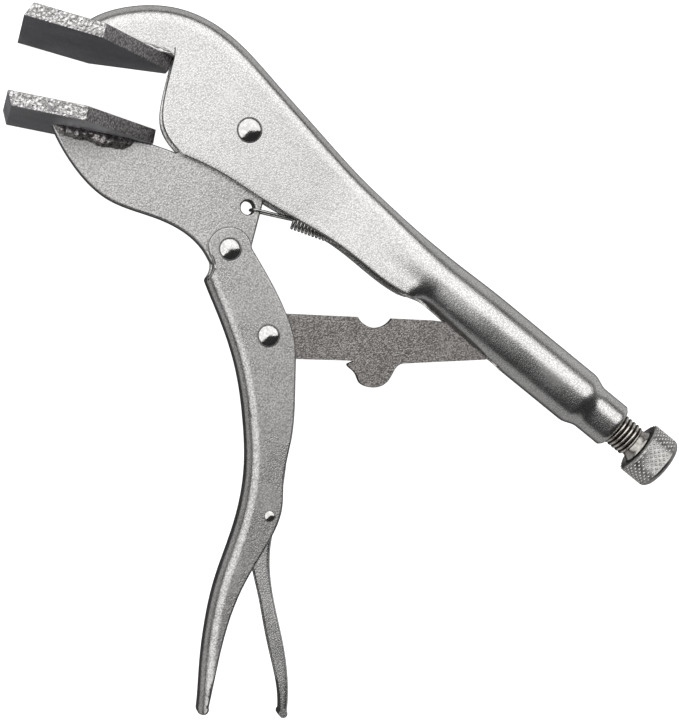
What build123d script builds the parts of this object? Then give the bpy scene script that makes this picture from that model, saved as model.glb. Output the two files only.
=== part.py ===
"""Locking pliers with wide flat jaw plates, opened, lying on their side.

Frame, in millimetres: the origin is the centre of the fixed jaw's clamping face.
+X runs back along that face towards the handles, +Y points from the moving jaw to
the fixed jaw, and +Z runs across the jaws, along every rivet. The plane Z = 0 is
the middle plane of the tool.
"""
from build123d import *
from math import atan2, cos, degrees, hypot, radians, sin, sqrt
import os

# ---------------------------------------------------------------- driving sizes
# sheet, plates and the gaps between them
sheet = 2.6              # pressed sheet of both handles
jaw_plate = 8.4          # thickness of the moving jaw
jaw_side_gap = 0.4       # air between the jaw and each cheek
bend_radius = 4.2        # outside radius where a handle's back folds into its cheeks
link_plate = 4.2         # thickness of the toggle link
lever_sheet = 1.8        # pressed sheet of the release lever
lever_side_gap = 0.4     # air between the lever and each cheek

# pivots, as (x, y)
jaw_pivot = (53.5, -10.9)
handle_pivot = (57.5, -48.9)
link_pivot = (76.7, -72.1)
lever_pivot = (92.4, -127.5)

# jaw pads
pad_width = 80.0
pad_length = 48.0
pad_square = 24.6        # length of the full-width front part of a pad
pad_rear_width = 10.0
pad_thickness = 4.6
pad_bevel = 2.0          # how far the back of the front edge is cut away
moving_lip = (-22.7, -22.7)   # front edge of the moving clamping face
moving_tilt = 4.6        # degrees between the open clamping faces
weld_leg = 3.4

# round back half of the fixed handle
tube_tilt = 23.2         # degrees that the tube drops below the X axis
tube_mouth = (122.3, -39.1)   # point on the tube's axis where the cheeks close
tube_length = 64.0       # from the mouth to the swaged shoulder
tube_radius = 9.4
mouth_radius = 8.8
channel_flare = 45.0     # length over which the cheeks swell into the tube
shoulder_length = 6.0
neck_length = 10.0
neck_radius = 7.8

# adjusting screw
screw_radius = 5.55
thread_depth = 0.8
thread_pitch = 1.5
screw_fit = 0.06         # radial clearance in the neck
thread_stick_out = 8.4   # threaded length behind the neck
collar_length = 2.2
collar_radius = 5.9
knob_radius = 9.3
knob_length = 10.4
knob_bore_fit = 0.05
spigot_radius = 4.0

# toggle link
tail_radius = 4.5        # rounded end that meets the screw
tail_gap = 1.3           # free play between the tail and the screw's tip
link_end_radius = 7.2
link_neck_radius = 5.9   # half depth of the link where it enters the tube
slot_side_gap = 0.7      # air between the link and each side of the tube's slot

# rivets
jaw_rivet_radius = 3.4
jaw_rivet_head = 4.2
main_rivet_radius = 3.0
main_rivet_head = 3.8
lever_rivet_radius = 1.3
lever_rivet_head = 1.95
rivet_head_height = 1.7
lever_head_height = 0.9
running_fit = 0.05       # radial clearance on each rivet

# grip of the moving handle and the release lever
grip_length = 66.9       # from the lever's rivet to the handle's lower end
lever_length = 61.7      # from the lever's rivet to the tail's end
nose_length = 23.0       # from the lever's rivet to its nose

# return spring
spring_wire = 0.9
spring_radius = 3.3
spring_turns = 26
spring_hole = (59.9, -34.6)
spring_hole_radius = 2.25
spring_front = (75.6, -33.9)    # first coil
spring_tilt = 4.0        # degrees that the coil drops towards the back

# ---------------------------------------------------------------- worked-out places
cheek_in = jaw_plate / 2 + jaw_side_gap
cheek_out = cheek_in + sheet
lever_half = cheek_in - lever_side_gap
tube_along = (cos(radians(tube_tilt)), -sin(radians(tube_tilt)))
tube_up = (-tube_along[1], tube_along[0])


def on_tube(s, r=0.0):
    """World point at distance s behind the tube's mouth and r above its axis."""
    return (tube_mouth[0] + s * tube_along[0] + r * tube_up[0],
            tube_mouth[1] + s * tube_along[1] + r * tube_up[1])


tube_plane = Plane(origin=(*tube_mouth, 0), x_dir=(*tube_along, 0), z_dir=(0, 0, 1))
tube_axis = Axis(origin=(*tube_mouth, 0), direction=(*tube_along, 0))
shoulder_end = tube_length + shoulder_length
neck_end = shoulder_end + neck_length
knob_front = neck_end + thread_stick_out + collar_length

tail_centre_s = 35.5     # the link's tail pushes the screw here, inside the tube
tail_pivot = on_tube(tail_centre_s)
screw_tip = tail_centre_s + tail_radius + tail_gap
link_tilt = degrees(atan2(tail_pivot[1] - link_pivot[1], tail_pivot[0] - link_pivot[0]))
link_reach = hypot(tail_pivot[0] - link_pivot[0], tail_pivot[1] - link_pivot[1])
link_plane = Plane(
    origin=(*link_pivot, 0),
    x_dir=(cos(radians(link_tilt)), sin(radians(link_tilt)), 0),
    z_dir=(0, 0, 1),
)

fixed_face = Plane(origin=(0, 0, 0), x_dir=(1, 0, 0), z_dir=(0, -1, 0))
tilt = radians(moving_tilt)
moving_centre = (moving_lip[0] + cos(tilt) * pad_length / 2,
                 moving_lip[1] + sin(tilt) * pad_length / 2)
moving_face = Plane(
    origin=(*moving_centre, 0),
    x_dir=(cos(tilt), sin(tilt), 0),
    z_dir=(-sin(tilt), cos(tilt), 0),
)
pad_front = -pad_length / 2


def on_moving_pad(along, depth):
    """World point on the moving pad: distance behind its lip, depth under its face."""
    return (moving_lip[0] + along * cos(tilt) + depth * sin(tilt),
            moving_lip[1] + along * sin(tilt) - depth * cos(tilt))


def near(point, dx, dy):
    return (point[0] + dx, point[1] + dy)


def shifted(points, distance):
    """The same run of points moved sideways, to the right of their direction."""
    moved = []
    last = len(points) - 1
    for i, (x, y) in enumerate(points):
        ahead = points[min(i + 1, last)]
        behind = points[max(i - 1, 0)]
        dx, dy = ahead[0] - behind[0], ahead[1] - behind[1]
        size = hypot(dx, dy)
        moved.append((x + distance * dy / size, y - distance * dx / size))
    return moved


os.makedirs("parts", exist_ok=True)


def save(piece, name):
    piece.part.label = name
    export_step(piece.part, f"parts/{name}.step")


# ---------------------------------------------------------------- jaw pads
def build_pad(face, side_up):
    """A flat pad: full width in front, tapering to the back, front edge bevelled.

    face is the clamping face's plane; side_up is +1 where the pad's body lies
    towards +Y of its face and -1 where it lies towards -Y.
    """
    with BuildPart() as pad:
        side = Plane(origin=face.origin, x_dir=face.x_dir, z_dir=(0, 0, 1))
        with BuildSketch(side):
            Polygon(
                (pad_front, 0),
                (-pad_front, 0),
                (-pad_front, side_up * pad_thickness),
                (pad_front + pad_bevel, side_up * pad_thickness),
                align=None,
            )
        extrude(amount=pad_width / 2, both=True)
        with BuildSketch(face.offset(1)):
            half, rear = pad_width / 2, pad_rear_width / 2
            taper_start = pad_front + pad_square
            Polygon(
                (pad_front, -half), (taper_start, -half), (-pad_front, -rear),
                (-pad_front, rear), (taper_start, half), (pad_front, half),
                align=None,
            )
        extrude(amount=-(pad_thickness + 2), mode=Mode.INTERSECT)
    return pad


upper_jaw_pad = build_pad(fixed_face, 1)
lower_jaw_pad = build_pad(moving_face, -1)
save(upper_jaw_pad, "upper_jaw_pad")
save(lower_jaw_pad, "lower_jaw_pad")

# ---------------------------------------------------------------- fixed handle
pad_top = pad_thickness
nose_tip = (-7.6, pad_top)
spine = [nose_tip, (-3.4, 9.7), (4.6, 15.4), (13.0, 18.8), (22.5, 20.4), (32.5, 19.4),
         (42.5, 15.8), (57.0, 7.2), (75.0, -4.2), (93.5, -15.6), (108.0, -23.1),
         on_tube(0, mouth_radius), on_tube(channel_flare / 2, tube_radius - 0.2)]
throat_top = (24.8, pad_top)
throat_low = (35.5, -24.4)
belly = [throat_low, (45.6, -25.9), (64.0, -31.2), (93.6, -39.2), (113.9, -47.2),
         on_tube(4.5, -mouth_radius)]
tab_at = (110.0, -24.3)      # back face of the handle above the spring's tab
tab_drop = 13.0

with BuildPart() as upper_handle:
    # folded sheet blank, solid for now
    with BuildSketch():
        with BuildLine():
            back = Spline(*spine)
            Polyline(back @ 1, on_tube(channel_flare / 2, -mouth_radius + 1), belly[-1])
            Spline(*belly[::-1])
            ThreePointArc(throat_low, (27.3, -17.6), (25.0, -8.0))
            Polyline((25.0, -8.0), throat_top, nose_tip)
        make_face()
    extrude(amount=cheek_out, both=True)
    cheek_edges = upper_handle.edges().filter_by(lambda e: abs(abs(e.center().Z) - cheek_out) < 0.01)
    back_edges = cheek_edges.filter_by(lambda e: e.length > 0.9 * back.length)
    fillet(back_edges, radius=bend_radius)
    # round part: the cheeks swell, close into a tube, and are swaged to a neck
    with BuildSketch(tube_plane):
        with BuildLine():
            Line((-channel_flare, 0), (-channel_flare, cheek_out))
            Spline(
                (-channel_flare, cheek_out), (0, mouth_radius), (25, tube_radius),
                (tube_length, tube_radius),
                tangents=[(1, 0), (1, 0)],
            )
            Spline(
                (tube_length, tube_radius), (shoulder_end, neck_radius),
                tangents=[(1, 0), (1, 0)],
            )
            Polyline(
                (shoulder_end, neck_radius), (neck_end - 0.8, neck_radius),
                (neck_end, neck_radius - 0.8), (neck_end, 0), (-channel_flare, 0),
            )
        make_face()
    revolve(axis=tube_axis)
    # nothing hangs below the cheeks' lower edges in front of the mouth
    with BuildSketch():
        with BuildLine():
            Spline(*belly)
            Polyline(
                belly[-1], near(belly[-1], -6, -14), (40, -60), (20, -60), (20, -24.4), throat_low,
            )
        make_face()
    extrude(amount=2 * cheek_out, both=True, mode=Mode.SUBTRACT)
    # inside of the channel, open below
    with BuildSketch():
        with BuildLine():
            inner = Spline(*shifted(spine, sheet))
            Polyline(
                inner @ 1, on_tube(channel_flare / 2, 0), on_tube(0, -mouth_radius + sheet),
                near(belly[-1], -6, -14), (-4, -70), inner @ 0,
            )
        make_face()
    extrude(amount=cheek_in, both=True, mode=Mode.SUBTRACT)
    # inside of the round part
    with BuildSketch(tube_plane):
        with BuildLine():
            Line((-channel_flare, 0), (-channel_flare, cheek_in))
            Spline(
                (-channel_flare, cheek_in), (0, mouth_radius - sheet), (25, tube_radius - sheet),
                (tube_length, tube_radius - sheet),
                tangents=[(1, 0), (1, 0)],
            )
            Polyline(
                (tube_length, tube_radius - sheet), (shoulder_end, screw_radius + screw_fit),
                (neck_end, screw_radius + screw_fit), (neck_end, 0), (-channel_flare, 0),
            )
        make_face()
    revolve(axis=tube_axis, mode=Mode.SUBTRACT)
    # slot under the tube that the link swings through
    slot_half = link_plate / 2 + slot_side_gap
    with BuildSketch(Plane(origin=(*on_tube(0), 0), x_dir=(*tube_along, 0), z_dir=(*tube_up, 0))):
        with Locations((tail_centre_s / 2 - 3, 0)):
            Rectangle(tail_centre_s + 12, 2 * slot_half)
    extrude(amount=-(tube_radius + 2), mode=Mode.SUBTRACT)
    # lanced tab that holds the spring's back hook
    with BuildSketch():
        with Locations(near(tab_at, 0, -tab_drop / 2 - sheet / 2)):
            Rectangle(3.4, tab_drop)
        with Locations(near(tab_at, 0, -tab_drop - sheet / 2 + 2.2)):
            Circle(1.0, mode=Mode.SUBTRACT)
    extrude(amount=0.9, both=True)
    # hole for the jaw's rivet
    with Locations(Location((*jaw_pivot, 0))):
        Cylinder(jaw_rivet_radius, 4 * cheek_out, mode=Mode.SUBTRACT)
save(upper_handle, "upper_handle")

# ---------------------------------------------------------------- moving jaw
jaw_tang = 12.0
jaw_boss = 6.9
jaw_front = on_moving_pad(15.5, pad_thickness)
jaw_heel = on_moving_pad(47.4, pad_thickness)
with BuildPart() as lower_jaw:
    with BuildSketch():
        with BuildLine():
            Line(jaw_front, jaw_heel)
            Polyline(jaw_heel, (33.2, -24.0), near(jaw_pivot, -11.1, -4.6))
            ThreePointArc(near(jaw_pivot, -11.1, -4.6), near(jaw_pivot, 0, jaw_tang),
                          near(jaw_pivot, jaw_tang, 0))
            Polyline(near(jaw_pivot, jaw_tang, 0), (64.2, -32.0), near(handle_pivot, jaw_boss, 0))
            ThreePointArc(near(handle_pivot, jaw_boss, 0), near(handle_pivot, 0, -jaw_boss),
                          near(handle_pivot, -5.4, -4.3))
            Spline(near(handle_pivot, -5.4, -4.3), (46.2, -48.8), (34.3, -45.6), (16.6, -43.9),
                   (2.8, -36.1), jaw_front)
        make_face()
        with Locations(jaw_pivot):
            Circle(jaw_rivet_radius + running_fit, mode=Mode.SUBTRACT)
        with Locations(handle_pivot):
            Circle(main_rivet_radius + running_fit, mode=Mode.SUBTRACT)
        with Locations(spring_hole):
            Circle(spring_hole_radius, mode=Mode.SUBTRACT)
    extrude(amount=jaw_plate / 2, both=True)
save(lower_jaw, "lower_jaw")


# ---------------------------------------------------------------- welds
def build_weld(plane, leg_up, leg_out, length):
    """A fillet bead with rounded ends in the corner between a pad and an upright.

    plane has its origin in the corner at the bead's middle, its X axis along the
    bead and its Z axis square to the upright; leg_up is signed.
    """
    with BuildPart() as weld:
        section = Plane(origin=plane.origin - plane.x_dir * length / 2,
                        x_dir=plane.y_dir, z_dir=plane.x_dir)
        with BuildSketch(section):
            with BuildLine():
                Line((0, 0), (leg_up, 0))
                ThreePointArc((leg_up, 0), (leg_up * 0.58, leg_out * 0.58), (0, leg_out))
                Line((0, leg_out), (0, 0))
            make_face()
        extrude(amount=length)
    return weld


upper_weld_span = (0.5, 23.4)
lower_weld_span = (16.5, 42.0)
for name, side in (("left", 1), ("right", -1)):
    middle = sum(upper_weld_span) / 2
    corner = Plane(origin=(middle, pad_top, side * cheek_out), x_dir=(1, 0, 0), z_dir=(0, 0, 1))
    length = upper_weld_span[1] - upper_weld_span[0]
    save(build_weld(corner, weld_leg * 0.8, side * weld_leg, length), f"upper_jaw_weld_{name}")

    middle = on_moving_pad(sum(lower_weld_span) / 2, pad_thickness)
    corner = Plane(origin=(*middle, side * jaw_plate / 2), x_dir=(cos(tilt), sin(tilt), 0),
                   z_dir=(0, 0, 1))
    length = lower_weld_span[1] - lower_weld_span[0]
    save(build_weld(corner, -weld_leg * 1.1, side * weld_leg * 1.1, length),
         f"lower_jaw_weld_{name}")

# ---------------------------------------------------------------- moving handle
ear_radius = 7.1
hook = near(handle_pivot, -4.6, -11.3)
grip_end = lever_pivot[1] - grip_length


def down_grip(x, share):
    """A point beside the grip, a share of the way from the lever's rivet to its end."""
    return (x, lever_pivot[1] - share * grip_length)


outer_edge = [hook, (59.2, -68.4), near(link_pivot, -10.7, -5.7), (71.4, -87.1),
              (77.1, -100.5), (81.0, -112.8), (83.0, lever_pivot[1]), down_grip(82.7, 0.175),
              down_grip(81.8, 0.375), down_grip(82.4, 0.575), down_grip(84.2, 0.765),
              down_grip(86.7, 0.955)]
inner_edge = [down_grip(89.9, 0.955), down_grip(89.3, 0.8), down_grip(88.8, 0.6),
              down_grip(90.5, 0.345), down_grip(94.7, 0.11), near(lever_pivot, 3.4, 3.0),
              (93.8, -115.2), (92.8, -102.3), (88.6, -82.1), near(link_pivot, 8.6, 0.7),
              (80.5, -63.9), (72.3, -54.6), near(handle_pivot, 6.8, 2.1)]

with BuildPart() as lower_handle:
    # sheet folded along the back, longer than needed at both ends
    with BuildSketch():
        with BuildLine():
            over_top = near(hook, -5.5, 9.0)
            past_end = near(outer_edge[-1], 1.0, -8.0)
            grip_back = Spline(over_top, *outer_edge, past_end)
            Polyline(past_end, (150, past_end[1]), (150, over_top[1] + 30),
                     near(over_top, 0, 30), over_top)
        make_face()
    extrude(amount=cheek_out, both=True)
    back_edges = lower_handle.edges().filter_by(
        lambda e: abs(abs(e.center().Z) - cheek_out) < 0.01 and abs(e.length - grip_back.length) < 0.5
    )
    fillet(back_edges, radius=bend_radius)
    # trimmed to its outline
    with BuildSketch():
        with BuildLine():
            Polyline(hook, near(hook, -12, 0), (60, outer_edge[-1][1]), outer_edge[-1])
            ThreePointArc(outer_edge[-1], (88.4, grip_end), inner_edge[0])
            Spline(*inner_edge)
            ThreePointArc(inner_edge[-1], near(handle_pivot, 0, ear_radius),
                          near(handle_pivot, -ear_radius, -0.6))
            Spline(near(handle_pivot, -ear_radius, -0.6), near(handle_pivot, -3.6, -6.2), hook,
                   tangents=[(0.3, -1), (-1, -1.2)])
        make_face()
    extrude(amount=2 * cheek_out, both=True, mode=Mode.INTERSECT)
    # inside of the channel, open towards the other handle
    inside = shifted(outer_edge[::-1], sheet)
    with BuildSketch():
        with BuildLine():
            wall = Spline(*inside[1:])
            Polyline(wall @ 1, near(handle_pivot, -20, -8), near(handle_pivot, -20, 12),
                     near(handle_pivot, 60, 12), (140, grip_end + 12), wall @ 0)
        make_face()
    extrude(amount=cheek_in, both=True, mode=Mode.SUBTRACT)
    for pivot, radius in ((handle_pivot, main_rivet_radius), (link_pivot, main_rivet_radius),
                          (lever_pivot, lever_rivet_radius)):
        with Locations(Location((*pivot, 0))):
            Cylinder(radius, 4 * cheek_out, mode=Mode.SUBTRACT)
save(lower_handle, "lower_handle")

# ---------------------------------------------------------------- toggle link
notch_at = 35.2          # along the link from its rivet
notch_radius = 6.5
bump_at = 34.8
bump_reach = 15.9        # lowest point of the bump below the link's middle line
with BuildPart() as toggle_link:
    with BuildSketch(link_plane):
        with BuildLine():
            top_of_tail = (link_reach - 6, tail_radius + 0.3)
            Polyline((0, link_end_radius), (54, 6.4), top_of_tail)
            Spline(top_of_tail, (link_reach, tail_radius), tangents=[(1, -0.1), (1, 0)])
            ThreePointArc((link_reach, tail_radius), (link_reach + tail_radius, 0),
                          (link_reach, -tail_radius))
            bump_back, bump_front = (bump_at + 10.4, -7.85), (bump_at - 10.8, -7.4)
            Polyline((link_reach, -tail_radius), (link_reach - 9, -link_neck_radius), bump_back)
            Spline(bump_back, (bump_at + 7.8, -9.2), (bump_at + 6.3, -11.9), (bump_at + 4.6, -14.3),
                   (bump_at, -bump_reach), (bump_at - 3.9, -14.3), (bump_at - 5.8, -10.9),
                   (bump_at - 7.8, -8.4), bump_front, tangents=[(-1, -0.06), (-1, 0)])
            Polyline(bump_front, (10, -7.4), (0, -link_end_radius))
            ThreePointArc((0, -link_end_radius), (-link_end_radius, 0), (0, link_end_radius))
        make_face()
        with Locations((notch_at, notch_radius + 3.4)):
            Circle(notch_radius, mode=Mode.SUBTRACT)
        Circle(main_rivet_radius + running_fit, mode=Mode.SUBTRACT)
    extrude(amount=link_plate / 2, both=True)
    # raised bosses that centre the link between the cheeks
    with BuildSketch():
        with Locations(link_pivot):
            Circle(link_end_radius - 1.6)
            Circle(main_rivet_radius + running_fit, mode=Mode.SUBTRACT)
    extrude(amount=cheek_in - jaw_side_gap, both=True)
save(toggle_link, "toggle_link")


# ---------------------------------------------------------------- release lever
def down_lever(x, share):
    return (x, lever_pivot[1] - share * lever_length)


nose = near(lever_pivot, -1.3, nose_length)
lever_web = [near(nose, 2.0, -1.4), near(lever_pivot, 2.2, 11.5), near(lever_pivot, 3.1, 0),
             down_lever(95.6, 0.1), down_lever(96.7, 0.215), down_lever(101.1, 0.405),
             down_lever(108.0, 0.62), down_lever(112.9, 0.81), down_lever(115.2, 0.965)]
lever_tip = down_lever(114.4, 1.0)
lever_rim = [down_lever(112.9, 0.965), down_lever(110.2, 0.84), down_lever(105.8, 0.705),
             down_lever(101.5, 0.57), down_lever(97.0, 0.42), down_lever(93.0, 0.3),
             down_lever(89.4, 0.15), near(lever_pivot, -4.2, 0), near(lever_pivot, -3.8, 12.0),
             near(nose, -2.0, -1.4)]
with BuildPart() as release_lever:
    with BuildSketch():
        with BuildLine():
            lever_back = Spline(*lever_web)
            ThreePointArc(lever_web[-1], lever_tip, lever_rim[0])
            Spline(*lever_rim)
            ThreePointArc(lever_rim[-1], nose, lever_web[0])
        make_face()
    extrude(amount=lever_half, both=True)
    web_edges = release_lever.edges().filter_by(
        lambda e: abs(abs(e.center().Z) - lever_half) < 0.01 and abs(e.length - lever_back.length) < 0.3
    )
    fillet(web_edges, radius=lever_sheet * 0.8)
    lever_inside = shifted(lever_web, lever_sheet)
    with BuildSketch():
        with BuildLine():
            wall = Spline(*lever_inside[1:-1])
            Polyline(wall @ 1, near(lever_inside[-2], -6, 0), near(lever_pivot, -12, -24),
                     near(lever_pivot, -12, 40), near(lever_pivot, 1, 40), wall @ 0)
        make_face()
    extrude(amount=lever_half - lever_sheet, both=True, mode=Mode.SUBTRACT)
    with Locations(Location((*lever_pivot, 0))):
        Cylinder(lever_rivet_radius + running_fit, 4 * cheek_out, mode=Mode.SUBTRACT)
save(release_lever, "release_lever")


# ---------------------------------------------------------------- rivets
def build_rivet(pivot, shank, head, height):
    """A shank through both cheeks with a domed head on each side."""
    dome = (head**2 + height**2) / (2 * height)
    with BuildPart() as rivet:
        with BuildSketch(Plane(origin=(*pivot, 0), x_dir=(1, 0, 0), z_dir=(0, -1, 0))):
            with BuildLine():
                Polyline((0, 0), (shank, 0), (shank, cheek_out), (head, cheek_out))
                bend = head * 0.6
                rise = cheek_out + height - dome + sqrt(dome**2 - bend**2)
                ThreePointArc((head, cheek_out), (bend, rise), (0, cheek_out + height))
                Line((0, cheek_out + height), (0, 0))
            make_face()
        revolve(axis=Axis(origin=(*pivot, 0), direction=(0, 0, 1)))
        mirror(about=Plane.XY)
    return rivet


for name, pivot, shank, head, height in (
    ("jaw_pivot_rivet", jaw_pivot, jaw_rivet_radius, jaw_rivet_head, rivet_head_height),
    ("handle_pivot_rivet", handle_pivot, main_rivet_radius, main_rivet_head, rivet_head_height),
    ("link_rivet", link_pivot, main_rivet_radius, main_rivet_head, rivet_head_height),
    ("release_lever_rivet", lever_pivot, lever_rivet_radius, lever_rivet_head, lever_head_height),
):
    save(build_rivet(pivot, shank, head, height), name)

# ---------------------------------------------------------------- adjusting screw
root_radius = screw_radius - thread_depth
thread_start = screw_tip + 3
thread_end = neck_end + thread_stick_out
thread_turns = int((thread_end - thread_start) / thread_pitch)
spigot_end = knob_front + knob_length - 3
with BuildPart() as adjusting_screw:
    with BuildSketch(tube_plane):
        with BuildLine():
            outline = [(screw_tip, 0), (screw_tip, root_radius - 1), (screw_tip + 1, root_radius),
                       (thread_start, root_radius)]
            for turn in range(thread_turns):
                at = thread_start + turn * thread_pitch
                outline.append((at + 0.45 * thread_pitch, screw_radius))
                outline.append((at + 0.6 * thread_pitch, screw_radius))
                outline.append((at + thread_pitch, root_radius))
            outline += [(thread_end, root_radius), (thread_end, collar_radius - 0.5),
                        (thread_end + 0.5, collar_radius), (knob_front - 0.05, collar_radius),
                        (knob_front - 0.05, spigot_radius), (spigot_end, spigot_radius),
                        (spigot_end, 0), (screw_tip, 0)]
            Polyline(*outline)
        make_face()
    revolve(axis=tube_axis)
save(adjusting_screw, "adjusting_screw")

knob_back = knob_front + knob_length
with BuildPart() as screw_knob:
    with BuildSketch(tube_plane):
        with BuildLine():
            bore = spigot_radius + knob_bore_fit
            Polyline(
                (knob_front, bore), (knob_front, knob_radius - 0.6), (knob_front + 0.6, knob_radius),
                (knob_back - 2.2, knob_radius), (knob_back, knob_radius - 1.6), (knob_back, 0),
                (spigot_end + 0.1, 0), (spigot_end + 0.1, bore), (knob_front, bore),
            )
        make_face()
    revolve(axis=tube_axis)
save(screw_knob, "screw_knob")

# ---------------------------------------------------------------- return spring
coil_pitch = spring_wire + 0.08
coil_length = spring_turns * coil_pitch
coil_tilt = radians(spring_tilt)
coil_along = (cos(coil_tilt), -sin(coil_tilt))
coil_plane = Plane(origin=(*spring_front, 0), x_dir=(*coil_along, 0), z_dir=(0, 0, 1))
coil_back = near(spring_front, coil_along[0] * coil_length, coil_along[1] * coil_length)
tab_hole = near(tab_at, 0, -tab_drop - sheet / 2 + 2.2)
wire_radius = spring_wire / 2
strand_z = jaw_plate / 2 + wire_radius + 0.6   # leaves the jaw's side clear as it closes in
hook_at = near(spring_hole, spring_hole_radius - wire_radius - 0.05, 0)


def add_wire(start, end):
    """A straight run of wire with round ends, joined to the part being built."""
    run = Vector(*end) - Vector(*start)
    with Locations(Plane(origin=start, z_dir=run)):
        Cylinder(wire_radius, run.length, align=(Align.CENTER, Align.CENTER, Align.MIN))
    with Locations(Location(start), Location(end)):
        Sphere(wire_radius)


with BuildPart() as return_spring:
    # close-wound body: one ring for each turn on a thin-walled core
    with BuildSketch(coil_plane):
        mean_radius = spring_radius - wire_radius
        with Locations(*[((turn + 0.5) * coil_pitch, mean_radius) for turn in range(spring_turns)]):
            Circle(wire_radius)
        with Locations((coil_length / 2, mean_radius)):
            Rectangle(coil_length - coil_pitch, wire_radius)
    revolve(axis=Axis(origin=(*spring_front, 0), direction=(*coil_along, 0)))
    # long front loop: down one side of the jaw, through its hole and back
    rim = near(spring_front, coil_along[0] * coil_pitch / 2, coil_along[1] * coil_pitch / 2)
    add_wire((*hook_at, -strand_z), (*hook_at, strand_z))
    for way in (-1, 1):
        add_wire((*hook_at, way * strand_z), (*rim, way * mean_radius))
    # back hook through the lanced tab
    end_rim = near(coil_back, -coil_along[0] * coil_pitch / 2, -coil_along[1] * coil_pitch / 2)
    add_wire((*tab_hole, -2.0), (*tab_hole, 2.0))
    for way in (-1, 1):
        add_wire((*tab_hole, way * 2.0), (*end_rim, way * mean_radius))
save(return_spring, "return_spring")
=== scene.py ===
"""Locking pliers with wide flat jaw plates, lying open on a pale table.

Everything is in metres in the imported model's frame: the origin is the centre of the fixed
jaw plate's clamping face, +X runs back along that face, +Y points from the moving jaw to
the fixed jaw, and +Z is up, along every rivet. Sizes are written in millimetres.
"""

from math import asin, cos, pi, radians, sin

import bmesh
import bpy
import numpy as np
from mathutils import Matrix, Vector, noise


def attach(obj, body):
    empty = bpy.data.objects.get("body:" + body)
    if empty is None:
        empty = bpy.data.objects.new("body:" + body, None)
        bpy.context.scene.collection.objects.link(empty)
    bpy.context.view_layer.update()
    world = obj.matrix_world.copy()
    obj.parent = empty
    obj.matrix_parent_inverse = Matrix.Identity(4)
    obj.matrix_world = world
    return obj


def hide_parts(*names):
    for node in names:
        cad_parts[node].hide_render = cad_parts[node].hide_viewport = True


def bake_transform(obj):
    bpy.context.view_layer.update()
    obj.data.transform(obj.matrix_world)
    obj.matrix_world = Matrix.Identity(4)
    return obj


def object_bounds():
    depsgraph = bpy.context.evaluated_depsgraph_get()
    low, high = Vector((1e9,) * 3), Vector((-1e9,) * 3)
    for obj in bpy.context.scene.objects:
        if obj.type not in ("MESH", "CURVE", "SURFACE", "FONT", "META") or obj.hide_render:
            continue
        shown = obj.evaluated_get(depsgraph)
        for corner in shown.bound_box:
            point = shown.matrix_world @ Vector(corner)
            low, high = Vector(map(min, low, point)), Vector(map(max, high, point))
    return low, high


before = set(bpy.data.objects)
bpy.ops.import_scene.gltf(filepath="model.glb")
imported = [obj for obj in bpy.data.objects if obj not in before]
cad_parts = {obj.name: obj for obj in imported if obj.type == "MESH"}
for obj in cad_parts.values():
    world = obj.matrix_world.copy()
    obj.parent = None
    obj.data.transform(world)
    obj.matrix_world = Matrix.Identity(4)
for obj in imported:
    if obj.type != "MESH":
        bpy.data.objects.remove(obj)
cad_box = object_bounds()

# ---------------------------------------------------------------- fixed handle
# One pressing of 2.6 mm steel sheet: two flat cheeks folded over a back at the jaw end,
# drawn in and rolled to a round tube behind, and swaged to a neck for the screw. Its lower
# edges leave a slot for the link. It is blasted, then plated with satin nickel.
MM = 0.001
sheet = 2.6
cheek_in, cheek_out = 4.6, 7.2
fold_radius = 5.4
rim_round = 0.55
tube_tilt = radians(23.2)
tube_along = np.array((cos(tube_tilt), -sin(tube_tilt)))
tube_up = np.array((sin(tube_tilt), cos(tube_tilt)))
tube_mouth = np.array((122.3, -39.1))
shoulder_start, shoulder_end, neck_end = 64.0, 70.0, 80.0
tube_radius, mouth_radius, neck_radius, neck_bore = 9.4, 8.8, 7.8, 5.61
slot_half = 2.8
slot_end = 38.5


def add(tree, kind, inputs=None, **settings):
    """A node in a tree, with its settings, and its inputs set or linked by name or number."""
    node = tree.nodes.new(kind)
    for key, value in settings.items():
        setattr(node, key, value)
    for key, value in (inputs or {}).items():
        if isinstance(value, bpy.types.NodeSocket):
            tree.links.new(value, node.inputs[key])
        else:
            node.inputs[key].default_value = value
    return node


def calc(tree, operation, *values):
    """The result of one step of arithmetic on numbers or sockets."""
    return add(tree, "ShaderNodeMath", dict(enumerate(values)), operation=operation).outputs[0]


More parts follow.
